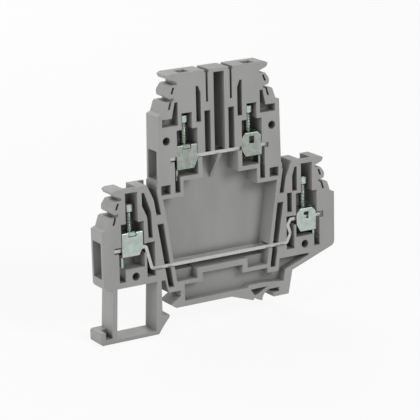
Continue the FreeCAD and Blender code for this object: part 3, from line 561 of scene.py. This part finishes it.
def ring_surface(name, rings):
    """A closed mesh from an array of rings, shaped (rings, points, 3).

    Point j of ring i joins its neighbours j+1 and i+1 in a quad; the middle of
    the first and of the last ring closes the ends with triangles."""
    count, around, _ = rings.shape
    ends = np.stack([rings[0].mean(axis=0), rings[-1].mean(axis=0)])
    points = np.concatenate([rings.reshape(-1, 3), ends])
    first_end = np.full(around, count * around)
    last_end = first_end + 1
    index = np.arange(count * around).reshape(count, around)
    beside = np.roll(index, -1, axis=1)
    quads = np.stack([index[:-1], beside[:-1], beside[1:], index[1:]], axis=-1)
    first = np.stack([beside[0], index[0], first_end], axis=-1)
    last = np.stack([index[-1], beside[-1], last_end], axis=-1)
    faces = quads.reshape(-1, 4).tolist() + first.tolist() + last.tolist()
    mesh = bpy.data.meshes.new(name)
    mesh.from_pydata(points, [], faces)
    mesh.shade_smooth()
    mesh.set_sharp_from_angle(angle=SMOOTH_BELOW)
    return mesh


print("ring helper ready")

# %% [markdown]
# ## Thread of a clamping screw
# Each clamp has an M2 screw. The solid has a plain shank, so the scene makes the
# screw again with its thread. The thread is a radius that depends on height and
# angle: along one turn of 0.4 mm it rises and falls like a triangle with its
# tips cut off. All lengths of the screw are in millimetres.

# %% Shape of the shank
PITCH = 0.4
THREAD_DEPTH = 0.22
SHANK_RADIUS = 1.0
FLANK_SLOPE = 2.8
ROOT_FLAT = 0.2
POINT_LENGTH = 0.4
POINT_TAPER = 0.5
SIDES_ROUND = 40
ROWS_PER_TURN = 8


def thread_rings(length):
    """Rings of the shank. Its radius is the shank's less the thread's depth times
    a clipped triangle wave of (height / pitch - angle / full turn); the wave
    fades out under the head, and a short cone makes the point."""
    rows = int(length / PITCH * ROWS_PER_TURN)
    height = np.linspace(0, length, rows)[:, None]
    angle = np.linspace(0, 2 * np.pi, SIDES_ROUND, endpoint=False)[None, :]
    phase = (height / PITCH - angle / (2 * np.pi)) % 1.0
    wave = np.clip(np.abs(phase - 0.5) * FLANK_SLOPE - ROOT_FLAT, 0, 1)
    fade = np.clip((length - height) / PITCH, 0, 1)
    radius = SHANK_RADIUS - THREAD_DEPTH * wave * fade
    cone = SHANK_RADIUS - POINT_TAPER * np.clip(POINT_LENGTH - height, 0, None)
    radius = np.minimum(radius, cone)
    rings = [radius * np.cos(angle), radius * np.sin(angle), height + 0 * angle]
    return np.stack(rings, axis=-1)


print("rings in 8 mm of thread:", len(thread_rings(8.0)))

# %% [markdown]
# ## Head of a clamping screw
# The head is a cheese head: a low cylinder with a bevelled rim and one slot for
# the driver. The solid has it too, and it is made again only so that the screw
# stays one piece. It is swept along the slot, because in that direction every
# cross-section is a simple comb shape with the slot as its gap.

# %% Shape of the head
HEAD_RADIUS = 1.42
HEAD_HEIGHT = 1.9
HEAD_BEVEL = 0.2
SLOT_HALF = 0.25
SLOT_DEEP = 0.75
STEPS_ALONG = 29
SHORT_OF_RIM = 0.9999


def head_rings(low, high):
    """Rings across the head, one for each place along the slot. A ring goes up
    the head's side, over the bevelled rim, down into the slot, up and down again;
    its half width at x is the square root of (radius squared - x squared). The
    end rings stop just short of the rim, so that they don't close to a line."""
    turn = np.linspace(np.pi, 0, STEPS_ALONG)
    along = HEAD_RADIUS * np.cos(turn) * SHORT_OF_RIM
    side = np.sqrt(HEAD_RADIUS ** 2 - along ** 2)
    flat = HEAD_RADIUS - HEAD_BEVEL
    top = np.sqrt(np.clip(flat ** 2 - along ** 2, 0, None))
    slot = np.minimum(SLOT_HALF, side)
    top = np.maximum(top, slot)
    half = [side, side, top, slot, slot]
    across = np.stack(half + [-width for width in reversed(half)], axis=1)
    rim = high - np.clip(np.hypot(along[:, None], across) - flat, 0, HEAD_BEVEL)
    rim[:, [0, -1]] = low
    rim[:, [4, 5]] = high - SLOT_DEEP
    x = np.broadcast_to(along[:, None], across.shape)
    return np.stack([x, across, rim], axis=-1)


print("rings across the head:", len(head_rings(0.0, HEAD_HEIGHT)))

# %% [markdown]
# ## The four screws
# Shank and head are two closed shells that overlap a little under the head. They
# are put into one mesh, as one screw is one piece. The four screws are the same
# part at four places. Each takes its place from the solid that it stands for,
# and rides on that solid's body, so it turns when the clamp is worked.

# %% Make the four screws
NECK_OVERLAP = 0.05


def join_meshes(name, pieces):
    """One object from several meshes that share a place."""
    merged = bmesh.new()
    for piece in pieces:
        merged.from_mesh(piece)
        bpy.data.meshes.remove(piece)
    bmesh.ops.recalc_face_normals(merged, faces=merged.faces)
    mesh = bpy.data.meshes.new(name)
    merged.to_mesh(mesh)
    merged.free()
    made = bpy.data.objects.new(name, mesh)
    bpy.context.scene.collection.objects.link(made)
    return made


def make_screw(tag):
    """The threaded screw that stands for one plain solid: the shank ends where the
    head starts, plus the overlap."""
    name, solid = f"threaded_screw_{tag}", f"clamping_screw_{tag}"
    low, high = (np.array(corner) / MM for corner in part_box(solid))
    centre = (low + high) / 2
    length = high[2] - low[2]
    under = length - HEAD_HEIGHT
    shank = ring_surface("shank", thread_rings(under + NECK_OVERLAP))
    head = ring_surface("head", head_rings(under, length))
    screw = join_meshes(name, [shank, head])
    place = Matrix.Translation(Vector((centre[0], centre[1], low[2])) * MM)
    screw.data.transform(place @ Matrix.Scale(MM, 4))
    screw.data.materials.append(zinc_screw)
    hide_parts(solid)
    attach(screw, f"screw_{tag}")
    return screw


for tag in ("upper_left", "upper_right", "lower_left", "lower_right"):
    screw = make_screw(tag)
    print(screw.name, len(screw.data.polygons), "faces")

# %% Measure and finish
print("solids", [[round(v / MM, 2) for v in c] for c in solid_box])
